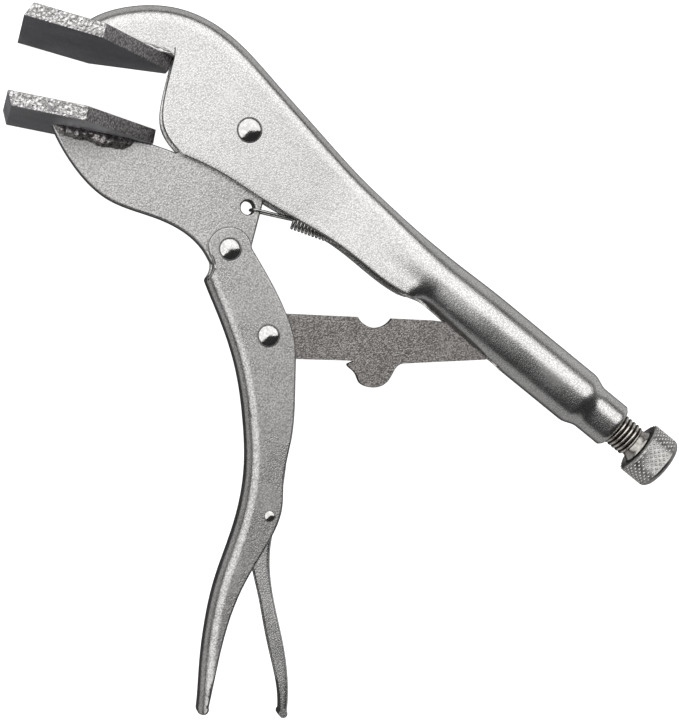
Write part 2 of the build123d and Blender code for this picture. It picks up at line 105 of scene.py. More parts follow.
def plated_steel(name, light, dark, roughness, grain, depth, patch=14.0, patchiness=0.35):
    """Blasted and plated steel: sizes of the grain and of the cloudy patches in millimetres."""
    material = bpy.data.materials.new(name)
    material.use_nodes = True
    tree = material.node_tree
    shader = tree.nodes["Principled BSDF"]
    shader.inputs["Metallic"].default_value = 1.0
    place = add(tree, "ShaderNodeTexCoord").outputs["Object"]
    clouds = add(tree, "ShaderNodeTexNoise", {
        "Vector": place, "Scale": 1 / (patch * MM), "Detail": 3.0, "Roughness": 0.6}).outputs["Fac"]
    blast = add(tree, "ShaderNodeTexNoise", {
        "Vector": place, "Scale": 1 / (grain * MM), "Detail": 2.0, "Roughness": 0.7}).outputs["Fac"]
    pits = add(tree, "ShaderNodeTexVoronoi", {
        "Vector": place, "Scale": 0.8 / (grain * MM)}).outputs["Distance"]
    speckle = calc(tree, "MULTIPLY_ADD", pits, -0.45, calc(tree, "ADD", blast, 0.16))
    mottled = calc(tree, "MULTIPLY_ADD", clouds, patchiness, calc(
        tree, "MULTIPLY", speckle, 1 - patchiness))
    tone = add(tree, "ShaderNodeMapRange", {
        "Value": mottled, "From Min": 0.34, "From Max": 0.60}).outputs["Result"]
    colour = add(tree, "ShaderNodeMix", {
        "Factor": tone, "A": (*dark, 1), "B": (*light, 1)}, data_type="RGBA")
    tree.links.new(colour.outputs["Result"], shader.inputs["Base Color"])
    dullness = calc(tree, "MULTIPLY_ADD", clouds, 0.16, roughness - 0.08)
    tree.links.new(dullness, shader.inputs["Roughness"])
    height = calc(tree, "MULTIPLY_ADD", pits, 0.5, blast)
    bump = add(tree, "ShaderNodeBump", {"Height": height, "Strength": 0.7, "Distance": depth * MM})
    tree.links.new(bump.outputs["Normal"], shader.inputs["Normal"])
    return material


def smooth_run(points, count):
    """Evenly spaced points on one smooth curve through the given ones."""
    p = np.array(points, float)
    knots = np.concatenate([[0], np.cumsum(np.linalg.norm(np.diff(p, axis=0), axis=1))])
    h = np.diff(knots)
    n = len(p)
    system, right = np.eye(n), np.zeros((n, 2))
    for i in range(1, n - 1):
        system[i, i - 1:i + 2] = h[i - 1], 2 * (h[i - 1] + h[i]), h[i]
        right[i] = 6 * ((p[i + 1] - p[i]) / h[i] - (p[i] - p[i - 1]) / h[i - 1])
    bend = np.linalg.solve(system, right)
    t = np.linspace(0, knots[-1], count)
    i = np.clip(np.searchsorted(knots, t, side="right") - 1, 0, n - 2)
    a, b, w = (knots[i + 1] - t)[:, None], (t - knots[i])[:, None], h[i][:, None]
    return (bend[i] * a**3 / (6 * w) + bend[i + 1] * b**3 / (6 * w)
            + (p[i] / w - bend[i] * w / 6) * a + (p[i + 1] / w - bend[i + 1] * w / 6) * b)


def on_tube(s, r=0.0):
    return tube_mouth + s * tube_along + r * tube_up


def ease(x, low, high):
    """0 below low, 1 above high and smooth between them."""
    t = np.clip((np.asarray(x, float) - low) / (high - low), 0, 1)
    return t * t * (3 - 2 * t)


def new_piece(name, verts, faces, material, unit=MM):
    """A smooth-shaded mesh object at the origin, from points in millimetres."""
    mesh = bpy.data.meshes.new(name)
    mesh.from_pydata([tuple(float(c) * unit for c in v) for v in verts], [], faces)
    mesh.materials.append(material)
    mesh.polygons.foreach_set("use_smooth", [True] * len(mesh.polygons))
    mesh.update()
    piece = bpy.data.objects.new(name, mesh)
    bpy.context.scene.collection.objects.link(piece)
    return piece


def face_outwards(piece):
    b = bmesh.new()
    b.from_mesh(piece.data)
    bmesh.ops.remove_doubles(b, verts=b.verts, dist=1e-7)
    bmesh.ops.recalc_face_normals(b, faces=b.faces)
    b.to_mesh(piece.data)
    b.free()


def half_section(height, width, roll, gap, inset, fold):
    """Half of a folded or rolled section, from the back's middle to the rim.

    Gives (depth below the back, distance from the middle plane). roll is 0 for a square
    channel and 1 for a round tube, first at the back and then at the rim; gap is half the
    opening; inset is 0 outside.
    """
    flat, side = width - fold, height - fold
    shape = []
    to_rim = pi - asin(min(gap / (width - inset), 1.0))
    side_length = (1 - roll[1]) * side + roll[1] * 0.6 * pi * width
    last = 1 - rim_round / side_length
    for i in range(4):
        shape.append(("flat", i / 4))
    for i in range(10):
        shape.append(("fold", i / 10))
    for i in range(23):
        shape.append(("side", last * i / 22))
    shape.append(("side", 1.0))
    points = []
    for part, t in shape:
        share = roll[0] + (roll[1] - roll[0]) * (ease(t, 0.15, 0.8) if part == "side" else 0.0)
        if part == "flat":
            channel, turn = (inset, flat * t), radians(20) * t
        elif part == "fold":
            a, r = t * pi / 2, fold - inset
            channel, turn = (inset + r * (1 - cos(a)), flat + r * sin(a)), radians(20 + 50 * t)
        else:
            channel = (fold + side * t, width - inset)
            turn = radians(70) + (to_rim - radians(70)) * t
        deep, wide = height / 2 - inset, width - inset
        tube = (inset + deep * (1 - cos(turn)), wide * sin(turn))
        points.append(tuple(c + (u - c) * share for c, u in zip(channel, tube)))
    return points


def rounded_rim(outer, inner):
    """The run from the outside round the sheet's edge to the inside, both corners rounded."""
    corner_out, corner_in = np.array(outer[-1]), np.array(inner[-1])
    across = corner_in - corner_out
    step = across * min(0.45, rim_round / np.linalg.norm(across))

    def turn_corner(near, corner, far):
        return [tuple((1 - t)**2 * near + 2 * t * (1 - t) * corner + t * t * far)
                for t in (0.25, 0.5, 0.75)]

    return (turn_corner(np.array(outer[-2]), corner_out, corner_out + step)
            + [tuple(corner_out + step), tuple(corner_in - step)]
            + turn_corner(corner_in - step, corner_in, np.array(inner[-2])))


def sheet_piece(name, stations, material):
    """A closed sheet-metal shell lofted through stations.

    A station is (back point, rim point, half width, roll, gap, inner inset, fold radius).
    """
    verts, rings = [], []
    for back, rim, width, roll, gap, thick, fold in stations:
        back, rim = np.array(back, float), np.array(rim, float)
        height = np.linalg.norm(rim - back)
        down = (rim - back) / height
        outer = half_section(height, width, roll, gap, 0.0, fold)
        inner = half_section(height, width, roll, gap, thick, fold)
        half = outer[:-1] + rounded_rim(outer, inner) + inner[:-1][::-1]
        ring = []
        for depth, z in half:
            verts.append((*(back + down * depth), z))
            ring.append(len(verts) - 1)
        mirrored = []
        for k, (depth, z) in enumerate(half):
            if z < 1e-6:
                mirrored.append(ring[k])
            else:
                verts.append((*(back + down * depth), -z))
                mirrored.append(len(verts) - 1)
        rings.append(ring + mirrored[-2:0:-1])
    size = len(rings[0])
    count = len(outer) - 1
    faces = []
    for a, b in zip(rings, rings[1:]):
        for k in range(size):
            faces.append((a[k], a[(k + 1) % size], b[(k + 1) % size], b[k]))
    half_size = size // 2 + 1
    for ring in (rings[0], rings[-1]):
        first = ring[:half_size]
        second = [ring[0]] + ring[half_size - 1:][::-1]
        for run in (first, second):
            for k in range(count - 1):
                faces.append((run[k], run[k + 1], run[-2 - k], run[-1 - k]))
            faces.append(tuple(run[count - 1:len(run) - count + 1]))
    piece = new_piece(name, verts, faces, material)
    face_outwards(piece)
    return piece


back_line = [(-7.6, 4.6), (-3.4, 9.7), (4.6, 15.4), (13.0, 18.8), (22.5, 20.4), (32.5, 19.4),
             (42.5, 15.8), (57.0, 7.2), (75.0, -4.2), (93.5, -15.6), (108.0, -23.1),
             tuple(on_tube(0, mouth_radius)), tuple(on_tube(22.5, tube_radius - 0.2))]
throat_top, throat_low = (24.8, 4.6), (35.5, -24.4)
throat = smooth_run([(24.8, 4.6), (25.0, -8.0), (27.3, -17.6), throat_low], 40)
belly = smooth_run([throat_low, (45.6, -25.9), (64.0, -31.2), (93.6, -39.2), (113.9, -47.2),
                    tuple(on_tube(4.5, -mouth_radius))], 120)
# places on the back that face places on the lower edge
matched = [(-7.6, (-1.5, 4.6)), (21.5, throat_top), (46.0, throat_low), (85.5, (75.2, -34.2)),
           (on_tube(0, mouth_radius)[0], tuple(on_tube(0, -9.7)))]

back_run = smooth_run(back_line, 1200)
back_run = back_run[back_run[:, 0] <= on_tube(0, mouth_radius)[0]]
back_at = np.concatenate([[0], np.cumsum(np.linalg.norm(np.diff(back_run, axis=0), axis=1))])
lower_run = np.concatenate([[(-1.5, 4.6), throat_top], throat[1:], belly[1:]])
lower_at = np.concatenate([[0], np.cumsum(np.linalg.norm(np.diff(lower_run, axis=0), axis=1))])
back_knots = [back_at[np.argmin(abs(back_run[:, 0] - x))] for x, _ in matched]
lower_knots = [lower_at[np.argmin(np.hypot(*(lower_run - q).T))] for _, q in matched]
lower_knots[0] = 0.0


def rolled(s):
    """How far the section is rolled to a round, at the back and at the rim."""
    return float(ease(s, -28, 9)), float(ease(s, -3, 7))


def opening(s):
    """Half the gap between the rims: that of the cheeks, then that of the slot."""
    return cheek_in + (slot_half - cheek_in) * float(ease(s, -2, 5))


handle_stations = []
near_mouth = np.linspace(back_at[-1] - 12, back_at[-1], 24)
for at in np.unique(np.concatenate([np.linspace(0, back_at[-1], 110), near_mouth, back_knots])):
    back = np.array([np.interp(at, back_at, back_run[:, k]) for k in (0, 1)])
    reach = np.interp(at, back_knots, lower_knots)
    rim = np.array([np.interp(reach, lower_at, lower_run[:, k]) for k in (0, 1)])
    s = ((back + rim) / 2 - tube_mouth) @ tube_along
    width = cheek_out + (mouth_radius - cheek_out) * ease(s, -45, 2)
    handle_stations.append((back, rim, width, rolled(s), opening(s), sheet, fold_radius))
seam_half = 0.09
for s in np.concatenate([
        np.arange(0.5, 6, 0.5), np.arange(6, 36, 1.5), np.arange(36, slot_end + 0.2, 0.35),
        np.arange(40, 64, 2.0), np.linspace(shoulder_start, shoulder_end, 10),
        [72.0, 75.0, 78.0, 79.2, 79.6, neck_end]]):
    radius = mouth_radius + (tube_radius - mouth_radius) * ease(s, 0, 25)
    radius += (neck_radius - tube_radius) * ease(s, shoulder_start, shoulder_end)
    radius -= max(0.0, s - 79.2)
    below = radius + 0.9 * (1 - ease(s, 0, 5))
    bore = neck_bore if s > shoulder_end else radius - sheet + (
        neck_bore - neck_radius + sheet) * ease(s, shoulder_start, shoulder_end)
    rounding = max(0.0, 1 - max(0.0, (s - slot_end + slot_half) / slot_half) ** 2) ** 0.5
    gap = max(seam_half, opening(s) * rounding) if s < slot_end else seam_half
    handle_stations.append((on_tube(s, radius), on_tube(s, -below), radius, rolled(s), gap,
                            radius - bore, fold_radius))

satin_nickel = plated_steel("satin_nickel", (0.90, 0.89, 0.88), (0.58, 0.57, 0.56),
                            0.25, 0.45, 0.045, patchiness=0.25)
fixed_handle = sheet_piece("fixed_handle", handle_stations, satin_nickel)
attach(fixed_handle, "fixed_handle")
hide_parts("upper_handle")


# ---------------------------------------------------------------- jaw plates
# Two pieces of flat steel bar, 80 mm wide in front and cut to a taper behind. Their side
# edges are sheared, so they stay rough; the faces are smooth under a thin dull plating.
def from_cad(name, node, material, rounding, steps=3, clamp=True):
    """A copy of a CAD node's mesh, merged, with its edges rounded by that many millimetres.

    With clamp on, a rounding stays shorter than the edges beside it.
    """
    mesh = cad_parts[node].data.copy()
    mesh.name = name
    b = bmesh.new()
    b.from_mesh(mesh)
    bmesh.ops.remove_doubles(b, verts=b.verts, dist=2e-6)
    bmesh.ops.dissolve_limit(b, angle_limit=radians(0.6), verts=b.verts, edges=b.edges)
    b.to_mesh(mesh)
    b.free()
    mesh.materials.clear()
    mesh.materials.append(material)
    mesh.polygons.foreach_set("use_smooth", [True] * len(mesh.polygons))
    piece = bpy.data.objects.new(name, mesh)
    bpy.context.scene.collection.objects.link(piece)
    bevel = piece.modifiers.new("rounded edges", "BEVEL")
    bevel.width = rounding * MM
    bevel.segments = steps
    bevel.limit_method = "ANGLE"
    bevel.angle_limit = radians(32)
    bevel.use_clamp_overlap = clamp
    bevel.loop_slide = False
    flat = piece.modifiers.new("flat faces stay flat", "WEIGHTED_NORMAL")
    flat.mode = "FACE_AREA"
    flat.weight = 90
    flat.keep_sharp = True
    return piece


bar_face = plated_steel("bar_face", (0.74, 0.735, 0.77), (0.56, 0.555, 0.585), 0.40, 0.7, 0.012)
sheared_edge = plated_steel("sheared_edge", (0.96, 0.95, 0.94), (0.30, 0.29, 0.29), 0.26, 0.8, 0.30,
                            patchiness=0.1)
cut_edge = plated_steel("cut_edge", (0.85, 0.82, 0.83), (0.28, 0.27, 0.27), 0.42, 0.6, 0.2,
                        patchiness=0.15)
for name, node, body in (("fixed_jaw_plate", "upper_jaw_pad", "fixed_handle"),
                         ("moving_jaw_plate", "lower_jaw_pad", "moving_jaw")):
    plate = from_cad(name, node, bar_face, 0.25)
    plate.data.materials.append(sheared_edge)
    plate.data.materials.append(cut_edge)
    for face in plate.data.polygons:
        if abs(face.normal.z) > 0.9:
            face.material_index = 1
        elif abs(face.normal.z) > 0.3:
            face.material_index = 2
    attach(plate, body)
    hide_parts(node)

# ---------------------------------------------------------------- moving jaw
# A forged plate 8.4 mm thick that runs from its jaw plate past both rivets. It is blasted
# and plated like the handles, and the edge that was trimmed after forging stays rough.
jaw_steel = plated_steel("jaw_steel", (0.76, 0.75, 0.74), (0.40, 0.39, 0.385), 0.30, 0.45, 0.08,
                         patchiness=0.2)
trimmed_edge = plated_steel("trimmed_edge", (0.42, 0.41, 0.40), (0.12, 0.12, 0.12), 0.45, 0.9, 0.3,
                            patchiness=0.15)
moving_jaw = from_cad("moving_jaw", "lower_jaw", jaw_steel, 0.6, clamp=False)
moving_jaw.data.materials.append(trimmed_edge)
for face in moving_jaw.data.polygons:
    if abs(face.normal.z) < 0.3 and face.center.x < 0.036 and face.center.y < -0.026:
        face.material_index = 1
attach(moving_jaw, "moving_jaw")
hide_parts("lower_jaw")


# ---------------------------------------------------------------- weld beads
# Arc-weld fillets that hold each jaw plate to its jaw on both sides. They are plated over
# as welded: the upper ones lie smooth and bright, the lower ones are wide and dark.
def weld_bead(name, corner, along, up, out, length, leg_up, leg_out, ripple, lumps, seed, material):
    """A lumpy fillet of weld; corner is the middle of the joint's inner corner."""
    across, rows = 14, max(24, int(length * 3))
    corner, along, up, out = (np.array(v, float) for v in (corner, along, up, out))
    verts, faces = [], []
    for i in range(rows + 1):
        t = i / rows
        end = min(t, 1 - t) * length / leg_out
        swell = min(1.0, max(0.06, 2 * end - end * end)) ** 0.5 if end < 1 else 1.0
        ring = []
        for j in range(across + 1):
            a = j / across * pi / 2
            lump = noise.noise((t * length * 0.16, a * 1.6, seed)) * lumps
            lump += noise.noise((t * length * 0.7, a * 3.0, seed)) * lumps * 0.35
            wave = abs(sin(pi * (t * length / ripple + 0.25 * sin(2 * a)))) * 0.035
            r = swell * (0.92 + lump + wave) * min(1.0, 0.8 + 0.4 * sin(2 * a))
            legs = up * leg_up * r * cos(a) + out * leg_out * r * sin(a)
            verts.append(corner + along * (t - 0.5) * length + legs)
            ring.append(len(verts) - 1)
        verts.append(corner + along * (t - 0.5) * length - up * 0.15 - out * 0.15)
        ring.append(len(verts) - 1)
        if i:
            for k in range(len(ring)):
                n = (k + 1) % len(ring)
                faces.append((last[k], last[n], ring[n], ring[k]))
        else:
            faces.append(tuple(ring[::-1]))
        last = ring
    faces.append(tuple(last))
    bead = new_piece(name, verts, faces, material)
    face_outwards(bead)
    return bead


bright_weld = plated_steel("bright_weld", (0.92, 0.91, 0.90), (0.66, 0.65, 0.64), 0.20, 1.6, 0.06)
dark_weld = plated_steel("dark_weld", (0.62, 0.59, 0.58), (0.20, 0.18, 0.18), 0.34, 0.5, 0.10,
                         patchiness=0.2)
plate_thickness = 4.6
moving_tilt = radians(4.6)
moving_along = (cos(moving_tilt), sin(moving_tilt), 0)
moving_down = (sin(moving_tilt), -cos(moving_tilt), 0)
jaw_half = 4.2
for side, hand in ((1, "left"), (-1, "right")):
    bead = weld_bead(f"fixed_jaw_weld_{hand}", (12.6, plate_thickness, side * cheek_out), (1, 0, 0),
                     (0, 1, 0), (0, 0, side), 24.0, 2.1, 3.2, 2.6, 0.22, 3.0 + side, bright_weld)
    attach(bead, "fixed_handle")
    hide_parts(f"upper_jaw_weld_{hand}")
    middle = (-22.7 + 29.2 * moving_along[0] + plate_thickness * moving_down[0],
              -22.7 + 29.2 * moving_along[1] + plate_thickness * moving_down[1], side * jaw_half)
    bead = weld_bead(f"moving_jaw_weld_{hand}", middle, moving_along, moving_down,
                     (0, 0, side), 25.4, 3.9, 3.8, 2.2, 0.35, 7.0 + side, dark_weld)
    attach(bead, "moving_jaw")
    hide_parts(f"lower_jaw_weld_{hand}")

# ---------------------------------------------------------------- moving handle
# A second pressing of the same sheet, folded to a channel along its outer edge. Its two
# ears hold the moving jaw and the link between them on rivets.
# Painted shade: the moving handle gets a darker copy of the satin nickel, though it carries the
# same plating as the fixed handle.
shaded_handle_nickel = plated_steel("shaded_handle_nickel", (0.72, 0.71, 0.70), (0.36, 0.35, 0.345),
                             0.28, 0.45, 0.06, patchiness=0.25)
moving_handle = from_cad("moving_handle", "lower_handle", shaded_handle_nickel, 0.7, clamp=False)
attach(moving_handle, "moving_handle")
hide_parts("lower_handle")

# ---------------------------------------------------------------- toggle link
# A stamped steel bar that pushes on the screw's tip inside the tube. The notch on top and
# the bump below come from the stamping. Its blasting is coarser and its plating darker.
link_steel = plated_steel("link_steel", (0.50, 0.475, 0.46), (0.17, 0.158, 0.15), 0.30, 0.45, 0.09,
                          patchiness=0.15)
toggle_link = from_cad("toggle_link", "toggle_link", link_steel, 0.45)
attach(toggle_link, "toggle_link")
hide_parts("toggle_link")

# ---------------------------------------------------------------- release lever
# A narrow channel of 1.8 mm sheet on a small rivet inside the moving handle. Pressing its
# tail turns its nose against the link and snaps the pliers open.
release_lever = from_cad("release_lever", "release_lever", satin_nickel, 0.35)
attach(release_lever, "release_lever")
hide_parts("release_lever")


# ---------------------------------------------------------------- rivets
# Solid steel rivets through both cheeks, with polished domed heads on both sides. The
# three large ones carry the linkage and the small one carries the release lever.
def group_with(name, sizes):
    """A Geometry Nodes tree with named sizes: gives the tree, its sockets and its output."""
    tree = bpy.data.node_groups.new(name, "GeometryNodeTree")
    tree.is_modifier = True
    kinds = {int: "NodeSocketInt", float: "NodeSocketFloat"}
    named = {}
    for key, value in sizes.items():
        named[key] = tree.interface.new_socket(key, in_out="INPUT", socket_type=kinds[type(value)])
        named[key].default_value = value
    tree.interface.new_socket("Geometry", in_out="OUTPUT", socket_type="NodeSocketGeometry")
    start = tree.nodes.new("NodeGroupInput")
    return tree, {key: start.outputs[key] for key in sizes}, named


def close_tree(tree, shape, material):
    """Ends a tree: instances made real, smooth shading and the material."""
    real = add(tree, "GeometryNodeRealizeInstances", {"Geometry": shape}).outputs[0]
    smooth = add(tree, "GeometryNodeSetShadeSmooth", {"Geometry": real}).outputs[0]
    coated = add(tree, "GeometryNodeSetMaterial", {
        "Geometry": smooth, "Material": material}).outputs[0]
    add(tree, "NodeGroupOutput", {"Geometry": coated})


def made_by(tree, named, name, place, **sizes):
    """A plain mesh object made by a tree with these sizes, then moved to its place."""
    piece = bpy.data.objects.new(name, bpy.data.meshes.new(name))
    bpy.context.scene.collection.objects.link(piece)
    modifier = piece.modifiers.new(name, "NODES")
    modifier.node_group = tree
    for key, value in sizes.items():
        modifier[named[key.replace("_", " ").capitalize()].identifier] = value
    scene_now = bpy.context.evaluated_depsgraph_get()
    mesh = bpy.data.meshes.new_from_object(piece.evaluated_get(scene_now))
    piece.modifiers.clear()
    piece.data = mesh
    mesh.transform(place)
    return piece


rivet_tree, rivet_in, rivet_sizes = group_with("domed_rivet", {
    "Head radius": 0.0042, "Head height": 0.0017, "Shank radius": 0.0034, "Half grip": 0.0072})
rivet_polish = plated_steel("rivet_polish", (0.86, 0.85, 0.83), (0.60, 0.59, 0.58), 0.13, 0.9, 0.05)
dome = add(rivet_tree, "GeometryNodeMeshUVSphere", {
    "Segments": 64, "Rings": 40, "Radius": 1.0}).outputs["Mesh"]
head_size = add(rivet_tree, "ShaderNodeCombineXYZ", {
    0: rivet_in["Head radius"], 1: rivet_in["Head radius"], 2: rivet_in["Head height"]}).outputs[0]
lowest = calc(rivet_tree, "MULTIPLY", rivet_in["Half grip"], -1.0)
grip = calc(rivet_tree, "MULTIPLY", rivet_in["Half grip"], 2.0)
ends = add(rivet_tree, "GeometryNodeMeshLine", {
    "Count": 2,
    "Start Location": add(rivet_tree, "ShaderNodeCombineXYZ", {2: lowest}).outputs[0],
    "Offset": add(rivet_tree, "ShaderNodeCombineXYZ", {2: grip}).outputs[0]}).outputs[0]
heads = add(rivet_tree, "GeometryNodeInstanceOnPoints", {
    "Points": ends, "Instance": dome, "Scale": head_size}).outputs[0]
shank = add(rivet_tree, "GeometryNodeMeshCylinder", {
    "Vertices": 48, "Radius": rivet_in["Shank radius"], "Depth": grip}).outputs["Mesh"]
both = add(rivet_tree, "GeometryNodeJoinGeometry")
rivet_tree.links.new(heads, both.inputs[0])
rivet_tree.links.new(shank, both.inputs[0])
close_tree(rivet_tree, both.outputs[0], rivet_polish)

for node, x, y, head, height, shank_radius, body in (
    ("jaw_pivot_rivet", 53.5, -10.9, 4.2, 1.7, 3.4, "fixed_handle"),
    ("handle_pivot_rivet", 57.5, -48.9, 3.8, 1.7, 3.0, "moving_handle"),
    ("link_rivet", 76.7, -72.1, 3.8, 1.7, 3.0, "moving_handle"),
    ("release_lever_rivet", 92.4, -127.5, 1.95, 0.9, 1.3, "moving_handle"),
):
    rivet = made_by(rivet_tree, rivet_sizes, node + "_head",
                    Matrix.Translation((x * MM, y * MM, 0)), head_radius=head * MM,
                    head_height=height * MM, shank_radius=shank_radius * MM,
                    half_grip=cheek_out * MM)
    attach(rivet, body)
    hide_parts(node)


# ---------------------------------------------------------------- adjusting screw
# A steel rod with a rolled right-hand thread of 1.5 mm pitch that runs in the handle's
# neck. Behind the thread it flares to a smooth collar that the knob sits on.
def turned(name, profile, sides, material):
    """A lathe-turned piece on the tube's axis, from (distance along, radius) points."""
    verts, faces, rings = [], [], []
    for s, r in profile:
        middle = on_tube(s)
        if r < 1e-6:
            verts.append((*middle, 0.0))
            rings.append([len(verts) - 1] * sides)
            continue
        ring = []
        for k in range(sides):
            a = 2 * pi * k / sides
            verts.append((*(middle + tube_up * r * cos(a)), r * sin(a)))
            ring.append(len(verts) - 1)
        rings.append(ring)
    for a, b in zip(rings, rings[1:]):
        for k in range(sides):
            n = (k + 1) % sides
            face = list(dict.fromkeys((a[k], a[n], b[n], b[k])))
            faces.append(tuple(face))
    piece = new_piece(name, verts, faces, material)
    face_outwards(piece)
    piece.data.set_sharp_from_angle(angle=radians(50))
    return piece


def root_shaded_steel(name, low, high, deep, crest_colour, roughness):
    """Steel with painted shade: near black at one distance from the tube's axis, in the roots, and
    plain bright steel at another, on the crests.
    """
    material = plated_steel(name, crest_colour, crest_colour, roughness, 0.8, 0.02)
    tree = material.node_tree
    shader = tree.nodes["Principled BSDF"]
    from_mouth = add(tree, "ShaderNodeVectorMath", {
        0: add(tree, "ShaderNodeTexCoord").outputs["Object"],
        1: (tube_mouth[0] * MM, tube_mouth[1] * MM, 0)}, operation="SUBTRACT").outputs[0]
    sideways = add(tree, "ShaderNodeVectorMath", {
        0: from_mouth, 1: (tube_along[0], tube_along[1], 0)}, operation="CROSS_PRODUCT").outputs[0]
    reach = add(tree, "ShaderNodeVectorMath", {0: sideways}, operation="LENGTH").outputs["Value"]
    height = add(tree, "ShaderNodeMapRange", {
        "Value": reach, "From Min": low * MM, "From Max": high * MM}).outputs["Result"]
    colour = add(tree, "ShaderNodeMix", {
        "Factor": height, "A": (*deep, 1), "B": (*crest_colour, 1)}, data_type="RGBA")
    tree.links.new(colour.outputs["Result"], shader.inputs["Base Color"])
    return material


tube_place = Matrix((
    (0, tube_up[0], tube_along[0], tube_mouth[0] * MM),
    (0, tube_up[1], tube_along[1], tube_mouth[1] * MM),
    (1, 0, 0, 0),
    (0, 0, 0, 1)))
thread_from, thread_to = 44.3, 88.4
# Painted shade: the thread's roots are painted near black, and its crests are plain bright steel.
screw_steel = root_shaded_steel("screw_steel", 4.85, 5.5, (0.035, 0.028, 0.024), (0.84, 0.80, 0.75), 0.24)
thread_tree, thread_in, thread_sizes = group_with("rolled_thread", {
    "Length": 0.04, "Pitch": 0.0015, "Root radius": 0.00475, "Depth": 0.0008, "Rings": 400})
rod = add(thread_tree, "GeometryNodeMeshCylinder", {
    "Vertices": 72, "Side Segments": thread_in["Rings"], "Radius": thread_in["Root radius"],
    "Depth": thread_in["Length"]}).outputs["Mesh"]
spot = add(thread_tree, "GeometryNodeInputPosition").outputs[0]
xyz = add(thread_tree, "ShaderNodeSeparateXYZ", {0: spot}).outputs
turn = calc(thread_tree, "DIVIDE", calc(thread_tree, "ARCTAN2", xyz[1], xyz[0]), 2 * pi)
wound = calc(thread_tree, "FRACT", calc(
    thread_tree, "SUBTRACT", calc(thread_tree, "DIVIDE", xyz[2], thread_in["Pitch"]), turn))
flank = calc(thread_tree, "ABSOLUTE", calc(thread_tree, "MULTIPLY_ADD", wound, 2.0, -1.0))
crest = add(thread_tree, "ShaderNodeMapRange", {
    "Value": flank, "From Min": 0.10, "From Max": 0.75, "To Max": thread_in["Depth"]},
    interpolation_type="SMOOTHSTEP").outputs["Result"]
half_long = calc(thread_tree, "MULTIPLY", thread_in["Length"], 0.5)
from_end = calc(thread_tree, "SUBTRACT", half_long, calc(thread_tree, "ABSOLUTE", xyz[2]))
runout = add(thread_tree, "ShaderNodeMapRange", {
    "Value": from_end, "From Min": 0.0, "From Max": 0.0012}).outputs["Result"]
outward = add(thread_tree, "ShaderNodeVectorMath", {
    0: add(thread_tree, "ShaderNodeCombineXYZ", {0: xyz[0], 1: xyz[1]}).outputs[0]},
    operation="NORMALIZE").outputs[0]
rise = calc(thread_tree, "MULTIPLY", crest, runout)
lift = add(thread_tree, "ShaderNodeVectorMath", {
    0: outward, "Scale": rise}, operation="SCALE").outputs[0]
threaded = add(thread_tree, "GeometryNodeSetPosition", {"Geometry": rod, "Offset": lift}).outputs[0]
close_tree(thread_tree, threaded, screw_steel)
middle = (thread_from + thread_to) / 2
thread = made_by(thread_tree, thread_sizes, "screw_thread",
                 tube_place @ Matrix.Translation((0, 0, middle * MM)),
                 length=(thread_to - thread_from) * MM, root_radius=4.75 * MM,
                 depth=0.8 * MM, rings=440)
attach(thread, "adjusting_screw")
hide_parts("adjusting_screw")

collar_steel = plated_steel("collar_steel", (0.62, 0.60, 0.56), (0.36, 0.34, 0.32), 0.28, 1.2, 0.03)
collar = turned("screw_collar", [
    (87.7, 0.0), (87.7, 4.7), (88.2, 4.85), (88.7, 4.95), (89.2, 5.15), (89.7, 5.45), (90.2, 5.85),
    (90.45, 5.9), (90.55, 5.8), (90.55, 4.0), (97.9, 4.0), (97.9, 0.0)], 72, collar_steel)
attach(collar, "adjusting_screw")
tip = turned("screw_tip", [
    (41.3, 0.0), (41.3, 3.3), (41.5, 3.75), (42.3, 4.75), (44.6, 4.75), (44.6, 0.0)],
    48, screw_steel)
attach(tip, "adjusting_screw")

# ---------------------------------------------------------------- knob
# A steel knob pressed on the screw's end. Its rim carries a cut diamond knurl between a
# narrow front lip and a chamfer at the back; its front is dished and its end is plain.
knob_steel = plated_steel("knob_steel", (0.62, 0.61, 0.59), (0.42, 0.41, 0.40), 0.30, 1.0, 0.015)
knob = turned("knob", [
    (91.4, 4.06), (91.2, 6.0), (90.85, 7.2), (90.62, 7.9), (90.66, 8.2), (90.85, 8.5), (91.2, 8.75),
    (91.7, 8.8), (98.5, 8.8), (98.9, 9.15), (99.3, 9.12), (99.8, 8.9), (100.3, 8.5), (100.7, 7.95),
    (100.92, 7.3), (101.0, 6.6), (101.0, 0.0),
    (98.05, 0.0), (98.05, 4.06), (91.4, 4.06)], 96, knob_steel)
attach(knob, "screw_knob")
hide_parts("screw_knob")

knurl_tree, knurl_in, knurl_sizes = group_with("diamond_knurl", {
    "Length": 0.0078, "Radius": 0.0087, "Depth": 0.0006, "Rows": 4.0, "Around": 36.0})
sleeve = add(knurl_tree, "GeometryNodeMeshCylinder", {
    "Vertices": 360, "Side Segments": 60, "Radius": knurl_in["Radius"],
    "Depth": knurl_in["Length"]}).outputs["Mesh"]
spot = add(knurl_tree, "GeometryNodeInputPosition").outputs[0]
xyz = add(knurl_tree, "ShaderNodeSeparateXYZ", {0: spot}).outputs
turn = calc(knurl_tree, "DIVIDE", calc(knurl_tree, "ARCTAN2", xyz[1], xyz[0]), 2 * pi)
round_it = calc(knurl_tree, "MULTIPLY", turn, knurl_in["Around"])
along_it = calc(knurl_tree, "MULTIPLY", calc(
    knurl_tree, "DIVIDE", xyz[2], knurl_in["Length"]), knurl_in["Rows"])
grooves = []
for way in ("ADD", "SUBTRACT"):
    part = calc(knurl_tree, "FRACT", calc(knurl_tree, way, round_it, along_it))
    grooves.append(calc(knurl_tree, "ABSOLUTE", calc(knurl_tree, "MULTIPLY_ADD", part, 2.0, -1.0)))
pyramid = add(knurl_tree, "ShaderNodeMapRange", {
    "Value": calc(knurl_tree, "MINIMUM", *grooves), "From Min": 0.12, "From Max": 0.72,
    "To Max": knurl_in["Depth"]}).outputs["Result"]
